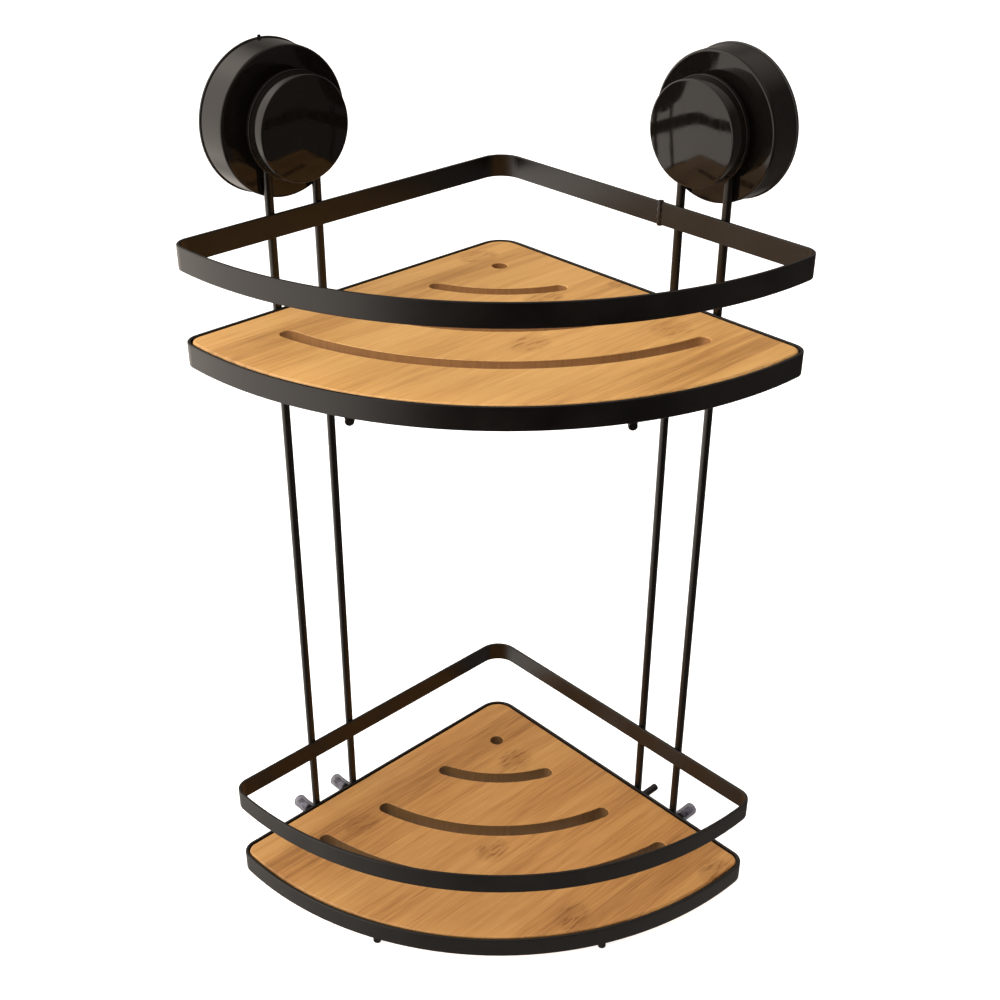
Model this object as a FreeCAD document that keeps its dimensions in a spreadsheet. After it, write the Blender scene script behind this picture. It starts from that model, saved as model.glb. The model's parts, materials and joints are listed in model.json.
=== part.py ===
import FreeCAD, Part
import math
import os

import Sketcher

# Two-tier corner shower caddy.
# Frame of the whole part: +X to the user's right, +Y into the corner of the room, +Z up.
# The origin is under the middle of the caddy, on the plane that it can stand on.
# Each tray has two straight wall sides at a right angle and a curved front. Its theoretical
# apex, where the two wall sides would meet, is the point that every plan size is counted from.

doc = FreeCAD.newDocument("corner_shower_caddy")
sheet = doc.addObject("Spreadsheet::Sheet", "Sizes")

DRIVING_SIZES = [
    # trays and gallery rails, bent from flat bar
    ("front_reach", 219.0, "apex to the outer face of the front strip, in the middle"),
    ("front_setout", 15.0, "apex to the centre of the front strip's arc"),
    ("apex_round", 14.0, "outer radius of the strip at the back corner"),
    ("corner_round", 9.0, "outer radius of the strip at the front corners"),
    ("strip_thick", 1.6, "thickness of the flat bar"),
    ("strip_height", 12.0, "height of the flat bar"),
    ("strip_edge", 0.4, "rounding on the edges of the coated bar"),
    ("tier_pitch", 332.0, "lower tray top to upper tray top"),
    ("rail_rise", 49.2, "tray top to the top of its rail"),
    # support rods under the boards
    ("wire_diameter", 4.5, "round wire of the hangers and the rods"),
    ("rod_offset", 64.0, "support rod to the middle plane"),
    ("rod_setback", 0.7, "rod end inside the outer face of the strip"),
    ("rod_edge", 0.7, "rounding on the cut ends of a rod"),
    ("weld_sink", 0.15, "how far a welded wire is sunk into the strip"),
    # bamboo boards
    ("board_thick", 11.4, "thickness of the board"),
    ("board_gap", 1.0, "gap between board and strip"),
    ("board_edge", 1.2, "rounding on the board's top edge"),
    ("board_lift", 0.45, "clearance between the board and its rods"),
    ("slot_width", 8.5, "width of the drain slots"),
    ("slot_edge", 0.5, "rounding on the rims of the drain slots"),
    ("short_slot_radius", 84.0, "middle of the short slot, from the apex"),
    ("short_slot_angle", 22.4, "half of the short slot, to its end's centre"),
    ("medium_slot_radius", 131.8, "middle of the medium slot"),
    ("medium_slot_angle", 30.5, "half of the medium slot"),
    ("long_slot_radius", 174.5, "middle of the long slot"),
    ("long_slot_angle", 35.2, "half of the long slot"),
    ("drain_hole_radius", 4.2, "radius of the round drain hole"),
    ("drain_hole_reach", 47.0, "apex to the round drain hole"),
    # hairpin hangers
    ("hanger_reach", 141.0, "apex to the middle of a hanger, along the wall side"),
    ("crook_fit", 0.25, "gap between a hanger's crook and the neck inside it"),
    ("foot_bend", 6.0, "bend radius where a leg turns to the wall"),
    ("foot_short", 2.0, "wire end short of the wall"),
    # rubber bumpers on the feet
    ("bumper_diameter", 8.0, "outside of a rubber bumper"),
    ("bumper_gap", 1.9, "bend of the foot to the bumper's mouth"),
    ("bumper_fit", 0.02, "radial clearance of the bumper on the wire"),
    ("bumper_edge", 1.2, "rounding of the bumper's edges"),
    # suction units
    ("cup_rise", 90.3, "upper tray top to the axis of the suction units"),
    ("sheet_margin", 0.7, "suction sheet beyond the cover"),
    ("sheet_thick", 1.5, "thickness of the suction sheet"),
    ("sheet_land", 6.5, "width of the flat sealing rim"),
    ("sheet_pull", 3.0, "how far the locked sheet is drawn off the wall"),
    ("boss_radius", 9.0, "moulded boss in the middle of the sheet"),
    ("boss_height", 4.5, "boss above the drawn sheet"),
    ("tab_width", 2.4, "pull tab of the suction sheet"),
    ("tab_length", 1.0, "pull tab beyond the sheet's edge"),
    ("plate_radius", 6.8, "stud's flange, moulded into the boss"),
    ("plate_thick", 1.8, "thickness of that flange"),
    ("stud_radius", 4.0, "draw stud"),
    ("stud_flat", 3.1, "middle of the stud to each of its flats"),
    ("stud_fit", 0.08, "running clearance round the stud"),
    ("seat_gap", 0.3, "gap between the sheet and the housing"),
    ("cover_radius", 37.1, "outside of the housing cover"),
    ("cover_depth", 15.55, "depth of the housing cover"),
    ("cover_wall", 2.0, "wall of the cover"),
    ("cover_round", 1.3, "rounding of the cover's front edge"),
    ("cover_draft", 0.5, "how much narrower the cover is at its front"),
    ("base_plate", 2.2, "thickness of the housing base"),
    ("base_fit", 0.15, "gap between the base and the cover"),
    ("base_clear", 3.5, "drawn sheet to the base's inner plate"),
    ("rib_thick", 1.6, "ribs of the housing base"),
    ("rib_count", 8, "number of ribs"),
    ("neck_radius", 12.0, "neck that the hanger hooks round"),
    ("neck_fit", 0.1, "gap between the neck and the cover's hole"),
    ("wire_gap", 0.3, "gap each side of the wire, to the cover and to the knob"),
    ("washer_margin", 1.4, "thrust washer inside the neck's edge"),
    ("washer_thick", 0.8, "thickness of the thrust washer"),
    ("washer_gap", 0.1, "play each side of the washer"),
    ("knob_radius", 25.7, "knob at its grip"),
    ("knob_flare", 0.6, "how far the knob's rear rim stands out"),
    ("knob_rim", 2.4, "height of the knob's rear rim"),
    ("cap_clear", 1.6, "stud's tip to the inside of the knob's cap"),
    ("knob_bevel", 0.7, "bevel round the knob's face"),
    ("knob_dome", 0.8, "how far the middle of the knob's face stands out"),
    ("cap_wall", 1.8, "wall of the knob's cap"),
    ("cap_fit", 0.05, "gap between the cap and the knob's skirt"),
    ("skirt_thick", 1.6, "skirt and floor of the knob body"),
    ("hub_radius", 10.4, "hub of the knob body"),
    ("nut_flats", 13.0, "brass nut, across flats"),
    ("nut_height", 5.6, "height of the brass nut"),
]

for row, (alias, value, meaning) in enumerate(DRIVING_SIZES, start=1):
    sheet.set("A%d" % row, meaning)
    sheet.set("B%d" % row, str(value))
    sheet.setAlias("B%d" % row, alias)
doc.recompute()


class Size:
    """A length or number as an expression on the sheet, together with its present value."""

    def __init__(self, text, value):
        self.text = text
        self.value = float(value)

    def combine(self, other, sign, value):
        return Size("(%s %s %s)" % (self.text, sign, other.text), value)

    def __add__(self, other):
        other = as_size(other)
        return self.combine(other, "+", self.value + other.value)

    def __radd__(self, other):
        return as_size(other) + self

    def __sub__(self, other):
        other = as_size(other)
        return self.combine(other, "-", self.value - other.value)

    def __rsub__(self, other):
        return as_size(other) - self

    def __mul__(self, other):
        other = as_size(other)
        return self.combine(other, "*", self.value * other.value)

    def __rmul__(self, other):
        return as_size(other) * self

    def __truediv__(self, other):
        other = as_size(other)
        return self.combine(other, "/", self.value / other.value)

    def __neg__(self):
        return Size("(-1 * %s)" % self.text, -self.value)

    def root(self):
        return Size("sqrt(%s)" % self.text, math.sqrt(self.value))

    def sine(self):
        return Size("sin(%s * 1 deg)" % self.text, math.sin(math.radians(self.value)))


def as_size(number):
    if isinstance(number, Size):
        return number
    return Size(repr(float(number)), number)


def size(alias):
    return Size("Sizes." + alias, sheet.get(alias))


ZERO = as_size(0)
ROOT_TWO = as_size(2).root()

front_reach = size("front_reach")
front_setout = size("front_setout")
front_radius = front_reach - front_setout
apex_round = size("apex_round")
corner_round = size("corner_round")
strip_thick = size("strip_thick")
strip_height = size("strip_height")
wire_radius = size("wire_diameter") / 2
weld_sink = size("weld_sink")
hanger_reach = size("hanger_reach")
rail_rise = size("rail_rise")

# Heights. The rods hang under the strips, and they and the bumpers touch the ground.
rod_axis_drop = strip_height + wire_radius - weld_sink
lower_top = rod_axis_drop + wire_radius
upper_top = lower_top + size("tier_pitch")
cup_axis = upper_top + size("cup_rise")
foot_axis = size("bumper_diameter") / 2

# The apex lies so that the caddy's bounding box is centred on the origin.
apex_setback = apex_round * (ROOT_TWO - 1)
apex_y = (front_reach + apex_setback) / 2

# Where a wire's centre is, out from the strips' outer face, and how far off the wall is:
# the suction sheet, the housing and the wire's own thickness lie between.
wire_out = wire_radius - weld_sink
wire_gap = size("wire_gap")
sheet_thick = size("sheet_thick")
housing_rear = sheet_thick + size("seat_gap")
cover_front = housing_rear + size("cover_depth")
wire_axis = cover_front + wire_gap + wire_radius
wall_gap = wire_axis + wire_out
half_spacing = size("neck_radius") + size("crook_fit") + wire_radius
foot_start = wire_out + size("foot_bend")
foot_end = wall_gap - size("foot_short")

features = []


def bind(thing, prop, amount):
    """Ties one property of an object to the sheet."""
    thing.setExpression(prop, amount.text)


def place(thing, x, y, z, turn=None):
    """Puts an object at a point of the part, with each coordinate tied to the sheet."""
    thing.Placement = FreeCAD.Placement(
        FreeCAD.Vector(x.value, y.value, z.value),
        turn or FreeCAD.Rotation(),
    )
    for axis, amount in (("x", x), ("y", y), ("z", z)):
        bind(thing, "Placement.Base." + axis, amount)


def new_body(label):
    body = doc.addObject("PartDesign::Body", label)
    body.Label = label
    features.append(body)
    return body


def origin_plane(body, role):
    for item in body.Origin.OriginFeatures:
        if item.Role == role:
            return item
    raise ValueError(role)


def new_sketch(body, name, role="XY_Plane", height=None):
    sketch = body.newObject("Sketcher::SketchObject", body.Name + "_" + name)
    sketch.AttachmentSupport = [(origin_plane(body, role), "")]
    sketch.MapMode = "FlatFace"
    if height is not None:
        bind(sketch, "AttachmentOffset.Base.z", height)
    return sketch


def fix(sketch, name, amount, kind, *where):
    """Adds one driving dimension to a sketch and ties it to the sheet."""
    index = sketch.addConstraint(Sketcher.Constraint(kind, *where, amount.value))
    sketch.renameConstraint(index, name)
    bind(sketch, "Constraints." + name, amount)


def pin(sketch, name, geo, pos, x, y):
    """Fixes a point of a sketch at (x, y), on an axis where a coordinate is zero."""
    if x is ZERO:
        sketch.addConstraint(Sketcher.Constraint("PointOnObject", geo, pos, -2))
    else:
        fix(sketch, name + "_x", x, "DistanceX", -1, 1, geo, pos)
    if y is ZERO:
        sketch.addConstraint(Sketcher.Constraint("PointOnObject", geo, pos, -1))
    else:
        fix(sketch, name + "_y", y, "DistanceY", -1, 1, geo, pos)


def polygon(sketch, tag, corners):
    """Draws a closed outline of straight lines whose corners are all tied to the sheet."""
    points = [FreeCAD.Vector(x.value, y.value, 0) for x, y in corners]
    lines = []
    for index, point in enumerate(points):
        after = points[(index + 1) % len(points)]
        lines.append(sketch.addGeometry(Part.LineSegment(point, after)))
    for index, line in enumerate(lines):
        after = lines[(index + 1) % len(lines)]
        sketch.addConstraint(Sketcher.Constraint("Coincident", line, 2, after, 1))
    for index, (x, y) in enumerate(corners):
        pin(sketch, "%s%d" % (tag, index), lines[index], 1, x, y)


def circle(sketch, name, radius, x=ZERO, y=ZERO):
    shape = Part.Circle(
        FreeCAD.Vector(x.value, y.value, 0),
        FreeCAD.Vector(0, 0, 1),
        radius.value,
    )
    geo = sketch.addGeometry(shape)
    fix(sketch, name + "_radius", radius, "Radius", geo)
    if x is ZERO and y is ZERO:
        sketch.addConstraint(Sketcher.Constraint("Coincident", geo, 3, -1, 1))
    else:
        pin(sketch, name + "_centre", geo, 3, x, y)
    return geo


def arc(sketch, centre, radius, start, end):
    shape = Part.Circle(centre, FreeCAD.Vector(0, 0, 1), radius)
    return sketch.addGeometry(Part.ArcOfCircle(shape, start, end))


def sector_loop(sketch, tag, inset, back_round, front_round):
    """Draws the tray's outline, two straight sides and an arc with rounded corners, moved inwards."""
    radius = front_radius - inset
    d = inset.value
    ra = back_round.value
    rc = front_round.value
    half = math.sqrt(0.5)
    centre = FreeCAD.Vector(0, -front_setout.value, 0)
    shift = front_setout.value * half
    along = shift + math.sqrt((radius.value - rc) ** 2 - (d + rc - shift) ** 2)
    # The right half; the left half is its mirror image.
    corner = FreeCAD.Vector((along - d - rc) * half, -(along + d + rc) * half, 0)
    on_side = FreeCAD.Vector((along - d) * half, -(along + d) * half, 0)
    back = FreeCAD.Vector(0, -(d + ra) / half, 0)
    at_back = back + FreeCAD.Vector(ra * half, ra * half, 0)
    lean = math.atan2(corner.y - centre.y, corner.x)

    def mirror(point):
        return FreeCAD.Vector(-point.x, point.y, 0)

    eighth = math.pi / 4
    back_arc = arc(sketch, back, ra, eighth, 3 * eighth)
    left = sketch.addGeometry(Part.LineSegment(mirror(at_back), mirror(on_side)))
    left_arc = arc(sketch, mirror(corner), rc, 3 * eighth, math.pi - lean)
    front = arc(sketch, centre, radius.value, math.pi - lean, 2 * math.pi + lean)
    right_arc = arc(sketch, corner, rc, lean, eighth)
    right = sketch.addGeometry(Part.LineSegment(on_side, at_back))
    chain = [back_arc, left, left_arc, front, right_arc, right]
    for index, piece in enumerate(chain):
        after = chain[(index + 1) % len(chain)]
        sketch.addConstraint(Sketcher.Constraint("Tangent", piece, 2, after, 1))
    sketch.addConstraint(Sketcher.Constraint("PointOnObject", front, 3, -2))
    sketch.addConstraint(Sketcher.Constraint("Perpendicular", left, right))
    sketch.addConstraint(Sketcher.Constraint("PointOnObject", back_arc, 3, -2))
    sketch.addConstraint(Sketcher.Constraint("Equal", left_arc, right_arc))
    fix(sketch, tag + "_radius", radius, "Radius", front)
    fix(sketch, tag + "_setout", front_setout, "DistanceY", front, 3, -1, 1)
    fix(sketch, tag + "_back", back_round, "Radius", back_arc)
    fix(sketch, tag + "_front", front_round, "Radius", left_arc)
    if inset is ZERO:
        for side in (left, right):
            sketch.addConstraint(Sketcher.Constraint("PointOnObject", -1, 1, side))
    else:
        for name, side in (("left", left), ("right", right)):
            fix(sketch, tag + "_" + name, inset, "Distance", -1, 1, side)


def arc_slot(sketch, tag, radius, half_angle, half_width):
    """Draws a slot that follows a circle round the apex and has round ends."""
    reach = radius * half_angle.sine()
    turn = math.radians(half_angle.value)
    middle = -math.pi / 2
    outer = arc(sketch, FreeCAD.Vector(), radius.value + half_width.value, middle - turn, middle + turn)
    inner = arc(sketch, FreeCAD.Vector(), radius.value - half_width.value, middle - turn, middle + turn)
    drop = -radius.value * math.cos(turn)
    right = arc(sketch, FreeCAD.Vector(reach.value, drop, 0), half_width.value,
                middle + turn, middle + turn + math.pi)
    left = arc(sketch, FreeCAD.Vector(-reach.value, drop, 0), half_width.value,
               middle - turn + math.pi, middle - turn + 2 * math.pi)
    for first, first_end, second, second_end in (
        (outer, 2, right, 1),
        (right, 2, inner, 2),
        (inner, 1, left, 1),
        (left, 2, outer, 1),
    ):
        sketch.addConstraint(Sketcher.Constraint("Tangent", first, first_end, second, second_end))
    for piece in (outer, inner):
        sketch.addConstraint(Sketcher.Constraint("Coincident", piece, 3, -1, 1))
    fix(sketch, tag + "_outer", radius + half_width, "Radius", outer)
    fix(sketch, tag + "_inner", radius - half_width, "Radius", inner)
    fix(sketch, tag + "_right", reach, "DistanceX", -1, 1, right, 3)
    fix(sketch, tag + "_left", reach, "DistanceX", left, 3, -1, 1)


def pad(body, sketch, length, name="pad"):
    feature = body.newObject("PartDesign::Pad", body.Name + "_" + name)
    feature.Profile = sketch
    bind(feature, "Length", length)
    sketch.Visibility = False
    return feature


def pocket(body, sketch, name, upwards=True):
    """Cuts a sketch right through, and makes sure that it did cut."""
    before = body.Shape.Volume
    feature = body.newObject("PartDesign::Pocket", body.Name + "_" + name)
    feature.Profile = sketch
    feature.Type = 1
    feature.Reversed = upwards
    doc.recompute()
    if body.Shape.Volume > before - 1:
        raise RuntimeError(body.Label + ": " + name + " cuts nothing")
    return feature


def turned(label, corners):
    """A piece that is round about its own Z axis: corners are (radius, height) pairs."""
    body = new_body(label)
    sketch = new_sketch(body, "section", "XZ_Plane")
    polygon(sketch, "p", corners)
    feature = body.newObject("PartDesign::Revolution", label + "_turn")
    feature.Profile = sketch
    feature.ReferenceAxis = (sketch, ["V_Axis"])
    feature.Angle = 360
    doc.recompute()
    return body


def edges_at(shape, wanted):
    """Names of the edges whose middle point passes the test."""
    names = []
    for index, edge in enumerate(shape.Edges, start=1):
        if edge.Degenerated:
            continue
        middle = edge.valueAt((edge.FirstParameter + edge.LastParameter) / 2)
        if wanted(edge, middle):
            names.append("Edge%d" % index)
    return names


def round_edges(body, name, amount, wanted, kind="PartDesign::Fillet"):
    """Rounds or bevels the chosen edges of a body's present shape."""
    doc.recompute()
    names = edges_at(body.Shape, wanted)
    if not names:
        raise RuntimeError(body.Label + ": no edge for " + name)
    tip = body.Tip
    feature = body.newObject(kind, body.Name + "_" + name)
    feature.Base = (tip, names)
    bind(feature, "Size" if kind.endswith("Chamfer") else "Radius", amount)
    doc.recompute()
    return feature


def near(first, second, within=0.01):
    return abs(first - second) < within


def ring_edge(radius, height):
    """Test for a full circle about a body's own Z axis."""
    def wanted(edge, middle):
        is_circle = edge.Curve.TypeId == "Part::GeomCircle"
        return is_circle and near(math.hypot(middle.x, middle.y), radius) and near(middle.z, height)
    return wanted


# Trays and gallery rails: closed loops of flat bar -----------------------------------------

def strip_loop(label, top):
    """One bent and welded loop of flat bar, with its top edge at a given height."""
    body = new_body(label)
    sketch = new_sketch(body, "plan")
    sector_loop(sketch, "outer", ZERO, apex_round, corner_round)
    sector_loop(sketch, "inner", strip_thick, apex_round - strip_thick, corner_round - strip_thick)
    pad(body, sketch, strip_height)
    bar_height = strip_height.value
    round_edges(
        body, "edges", size("strip_edge"),
        lambda edge, middle: near(middle.z, 0) or near(middle.z, bar_height),
    )
    place(body, ZERO, apex_y, top - strip_height)


def support_rod(label, side, top):
    """A straight rod under a tray, from a wall side to the front strip."""
    offset = size("rod_offset")
    setback = size("rod_setback")
    back_end = offset + setback
    front_end = front_setout + (front_radius * front_radius - offset * offset).root() - setback
    body = new_body(label)
    sketch = new_sketch(body, "section", "XZ_Plane")
    circle(sketch, "wire", wire_radius)
    pad(body, sketch, front_end - back_end)
    round_edges(
        body, "ends", size("rod_edge"),
        lambda edge, middle: edge.Curve.TypeId == "Part::GeomCircle",
    )
    place(body, side * offset, apex_y - back_end, top - rod_axis_drop)


def board(label, top):
    """A bamboo board that drops into a tray, with a hole and three arc slots to drain it."""
    thick = size("board_thick")
    inset = strip_thick + size("board_gap")
    body = new_body(label)
    sketch = new_sketch(body, "plan")
    sector_loop(sketch, "edge", inset, apex_round - inset, corner_round - inset)
    pad(body, sketch, thick)
    doc.recompute()
    cuts = new_sketch(body, "drains")
    circle(cuts, "hole", size("drain_hole_radius"), ZERO, -size("drain_hole_reach"))
    for name in ("short", "medium", "long"):
        arc_slot(cuts, name, size(name + "_slot_radius"), size(name + "_slot_angle"),
                 size("slot_width") / 2)
    pocket(body, cuts, "drain_cuts")
    board_top = thick.value
    front_start = size("long_slot_radius").value + size("slot_width").value
    back_reach = size("drain_hole_reach").value - 2 * size("drain_hole_radius").value

    def on_rim(middle):
        reach = math.hypot(middle.x, middle.y)
        side_gap = (-middle.y - abs(middle.x)) * math.sqrt(0.5)
        return reach > front_start or near(side_gap, inset.value, 1) or reach < back_reach

    round_edges(
        body, "rim", size("board_edge"),
        lambda edge, middle: near(middle.z, board_top) and on_rim(middle),
    )
    round_edges(
        body, "slot_rims", size("slot_edge"),
        lambda edge, middle: near(middle.z, board_top) and not on_rim(middle),
    )
    place(body, ZERO, apex_y, top - strip_height + weld_sink + size("board_lift"))


# Hairpin hangers: one bent wire on each wall side -------------------------------------------

def primitive(kind, name, centre, turn, **sizes):
    thing = doc.addObject(kind, name)
    for prop, amount in sizes.items():
        bind(thing, prop, amount)
    place(thing, *centre, turn)
    return thing


def hanger(label, side):
    """A hairpin of round wire: up one leg, round the neck, down the other, feet to the wall.

    In its own frame X runs along the wall side, Y points to the wall, and Y = 0 is the
    strips' outer face."""
    bend = size("foot_bend")
    leg_foot = foot_axis + bend
    leg_length = cup_axis - leg_foot
    across = FreeCAD.Vector(1, 0, 0)
    half_turn = as_size(180)
    quarter_turn = as_size(90)
    pieces = [
        primitive(
            "Part::Torus", label + "_crook", (ZERO, wire_out, cup_axis),
            FreeCAD.Rotation(across, 90),
            Radius1=half_spacing, Radius2=wire_radius, Angle3=half_turn,
        )
    ]
    for name, way in (("near", -1), ("far", 1)):
        x = way * half_spacing
        pieces.append(primitive(
            "Part::Cylinder", label + "_" + name + "_leg", (x, wire_out, leg_foot),
            FreeCAD.Rotation(),
            Radius=wire_radius, Height=leg_length,
        ))
        pieces.append(primitive(
            "Part::Torus", label + "_" + name + "_bend", (x, foot_start, leg_foot),
            FreeCAD.Rotation(FreeCAD.Vector(0, 1, 0), FreeCAD.Vector(0, 0, 1),
                             FreeCAD.Vector(1, 0, 0), "XYZ")
            * FreeCAD.Rotation(FreeCAD.Vector(0, 0, 1), 180),
            Radius1=bend, Radius2=wire_radius, Angle3=quarter_turn,
        ))
        pieces.append(primitive(
            "Part::Cylinder", label + "_" + name + "_foot", (x, foot_start, foot_axis),
            FreeCAD.Rotation(across, -90),
            Radius=wire_radius, Height=foot_end - foot_start,
        ))
    wire = doc.addObject("Part::MultiFuse", label)
    wire.Label = label
    wire.Shapes = pieces
    wire.Refine = True
    along = side * hanger_reach / ROOT_TWO
    place(wire, along, apex_y - hanger_reach / ROOT_TWO, ZERO,
          FreeCAD.Rotation(FreeCAD.Vector(0, 0, 1), -45 * side))
    features.append(wire)


def bumper(label, side, way):
    """A soft cap pushed on one foot of a hanger. Its own Z points from the wall to the room."""
    bore = wire_radius + size("bumper_fit")
    outside = size("bumper_diameter") / 2
    length = wall_gap - foot_start - size("bumper_gap")
    blind = size("foot_short")
    body = turned(label, [
        (ZERO, ZERO), (outside, ZERO), (outside, length), (bore, length), (bore, blind), (ZERO, blind),
    ])
    round_edges(body, "tip", size("bumper_edge"), ring_edge(outside.value, 0))
    round_edges(body, "mouth", size("bumper_edge") / 2, ring_edge(outside.value, length.value))
    set_on_wall(body, side, hanger_reach + way * half_spacing, foot_axis)


def set_on_wall(body, side, reach, height):
    """Places a piece on a wall, with its own Z axis pointing from the wall into the room."""
    x = side * (reach + wall_gap) / ROOT_TWO
    y = apex_y - (reach - wall_gap) / ROOT_TWO
    room = FreeCAD.Vector(-side, -1, 0)
    up = FreeCAD.Vector(0, 0, 1)
    turn = FreeCAD.Rotation(up.cross(room), up, room, "ZXY")
    place(body, x, y, height, turn)


# Suction units: heights below are counted from the wall towards the room --------------------

sheet_pull = size("sheet_pull")
plate_thick = size("plate_thick")
stud_radius = size("stud_radius")
stud_fit = size("stud_fit")
cover_wall = size("cover_wall")
cover_radius = size("cover_radius")
sheet_radius = cover_radius + size("sheet_margin")
neck_radius = size("neck_radius")
knob_radius = size("knob_radius")
washer_gap = size("washer_gap")
washer_thick = size("washer_thick")
washer_radius = neck_radius - size("washer_margin")

boss_top = sheet_pull + sheet_thick + size("boss_height")
plate_floor = sheet_pull + sheet_thick
knob_rear = wire_axis + wire_radius + wire_gap
neck_end = knob_rear - wire_gap
washer_rear = neck_end + washer_gap
hub_rear = washer_rear + washer_thick + washer_gap
rim_front = knob_rear + size("knob_rim")
nut_rear = hub_rear + size("skirt_thick")
nut_front = nut_rear + size("nut_height")
stud_bore = stud_radius + stud_fit
cap_inner = knob_radius - size("cap_wall")
skirt_outer = cap_inner - size("cap_fit")
skirt_inner = skirt_outer - size("skirt_thick")
# The stud's tip stays under the cap when the sheet is drawn in.
stud_tip = nut_front + wire_gap
cap_floor = stud_tip + size("cap_clear")
face_edge = cap_floor + size("cap_wall")


def double_flat(sketch, tag, radius, half_flat):
    """Draws a circle with two flats, the section of the keyed stud and of its guide."""
    r = radius.value
    h = half_flat.value
    w = math.sqrt(r * r - h * h)
    lean = math.asin(h / r)
    right = arc(sketch, FreeCAD.Vector(), r, -lean, lean)
    left = arc(sketch, FreeCAD.Vector(), r, math.pi - lean, math.pi + lean)
    top = sketch.addGeometry(Part.LineSegment(FreeCAD.Vector(w, h, 0), FreeCAD.Vector(-w, h, 0)))
    bottom = sketch.addGeometry(Part.LineSegment(FreeCAD.Vector(-w, -h, 0), FreeCAD.Vector(w, -h, 0)))
    for first, second in ((right, top), (top, left), (left, bottom), (bottom, right)):
        sketch.addConstraint(Sketcher.Constraint("Coincident", first, 2, second, 1))
    for piece in (right, left):
        sketch.addConstraint(Sketcher.Constraint("Coincident", piece, 3, -1, 1))
    for line in (top, bottom):
        sketch.addConstraint(Sketcher.Constraint("Horizontal", line))
    sketch.addConstraint(Sketcher.Constraint("Equal", right, left))
    fix(sketch, tag + "_radius", radius, "Radius", right)
    fix(sketch, tag + "_top", half_flat, "DistanceY", -1, 1, top, 1)
    fix(sketch, tag + "_bottom", half_flat, "DistanceY", bottom, 1, -1, 1)


def suction_sheet(label, side, tab_down):
    """The soft sheet, drawn off the wall in its middle, with a boss and a pull tab."""
    land = sheet_radius - size("sheet_land")
    boss = size("boss_radius")
    shaft = stud_radius
    plate = size("plate_radius")
    body = turned(label, [
        (ZERO, sheet_pull), (boss, sheet_pull), (land, ZERO), (sheet_radius, ZERO),
        (sheet_radius, sheet_thick), (land, sheet_thick), (boss, plate_floor),
        (boss, boss_top), (shaft, boss_top), (shaft, plate_floor + plate_thick),
        (plate, plate_floor + plate_thick), (plate, plate_floor), (ZERO, plate_floor),
    ])
    tab = new_sketch(body, "tab")
    half = size("tab_width") / 2
    polygon(tab, "t", [
        (-half, sheet_radius - size("tab_length")), (half, sheet_radius - size("tab_length")),
        (half, sheet_radius + size("tab_length")), (-half, sheet_radius + size("tab_length")),
    ])
    pad(body, tab, sheet_thick, "tab_pad")
    tab_end = (sheet_radius + size("tab_length")).value
    round_edges(
        body, "tab_corners", size("tab_length") * 0.8,
        lambda edge, middle: near(middle.y, tab_end) and near(abs(middle.x), half.value),
    )
    round_edges(body, "boss_edge", sheet_thick / 2, ring_edge(boss.value, boss_top.value))
    set_on_wall(body, side, hanger_reach, cup_axis)
    if tab_down:
        body.Placement.Rotation = body.Placement.Rotation * FreeCAD.Rotation(FreeCAD.Vector(0, 0, 1), 180)


def draw_stud(label, side):
    """The stud that draws the sheet in: a flange in the boss and a keyed shaft."""
    plate = size("plate_radius")
    body = turned(label, [
        (ZERO, plate_floor), (plate, plate_floor), (plate, plate_floor + plate_thick),
        (stud_radius, plate_floor + plate_thick), (stud_radius, stud_tip), (ZERO, stud_tip),
    ])
    flats = new_sketch(body, "flats", height=boss_top)
    wide = stud_radius + stud_fit
    flat = size("stud_flat")
    for name, way in (("upper", 1), ("lower", -1)):
        polygon(flats, name, [
            (-wide, way * flat), (wide, way * flat), (wide, way * wide), (-wide, way * wide),
        ])
    cut = body.newObject("PartDesign::Pocket", label + "_key")
    cut.Profile = flats
    cut.Reversed = True
    bind(cut, "Length", neck_end + sheet_pull + wire_gap - boss_top)
    before = body.Shape.Volume
    doc.recompute()
    if body.Shape.Volume > before - 1:
        raise RuntimeError(label + ": the flats cut nothing")
    set_on_wall(body, side, hanger_reach, cup_axis)


def housing_base(label, side):
    """The ribbed base that presses the sheet's rim and carries the neck."""
    plate = size("base_plate")
    floor = plate_floor + size("base_clear") + plate
    rim_outer = cover_radius - cover_wall - size("cover_draft") - size("base_fit")
    rim_inner = rim_outer - size("sheet_land") / 2
    guide = size("boss_radius") + 2 * size("seat_gap")
    web = neck_radius + plate
    body = turned(label, [
        (rim_inner, housing_rear), (rim_outer, housing_rear), (rim_outer, housing_rear + plate),
        (web, floor + plate), (web, cover_front - cover_wall), (neck_radius, cover_front - cover_wall),
        (neck_radius, neck_end), (ZERO, neck_end), (ZERO, boss_top + size("seat_gap")),
        (guide, boss_top + size("seat_gap")), (guide, floor - plate), (web, floor - plate),
    ])
    rib = new_sketch(body, "rib", "XZ_Plane")
    polygon(rib, "r", [
        (web - plate / 2, floor), (rim_outer - plate, housing_rear + plate / 2),
        (rim_outer - plate, cover_front - cover_wall - wire_gap),
        (web - plate / 2, cover_front - cover_wall - wire_gap),
    ])
    feature = pad(body, rib, size("rib_thick"), "rib_pad")
    feature.Midplane = True
    doc.recompute()
    pattern = body.newObject("PartDesign::PolarPattern", label + "_ribs")
    pattern.Originals = [feature]
    pattern.Axis = (rib, ["V_Axis"])
    pattern.Angle = 360
    bind(pattern, "Occurrences", size("rib_count"))
    body.Tip = pattern
    doc.recompute()
    guide_hole = new_sketch(body, "guide")
    double_flat(guide_hole, "guide", stud_bore, size("stud_flat") + stud_fit)
    pocket(body, guide_hole, "guide_cut")
    set_on_wall(body, side, hanger_reach, cup_axis)


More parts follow.
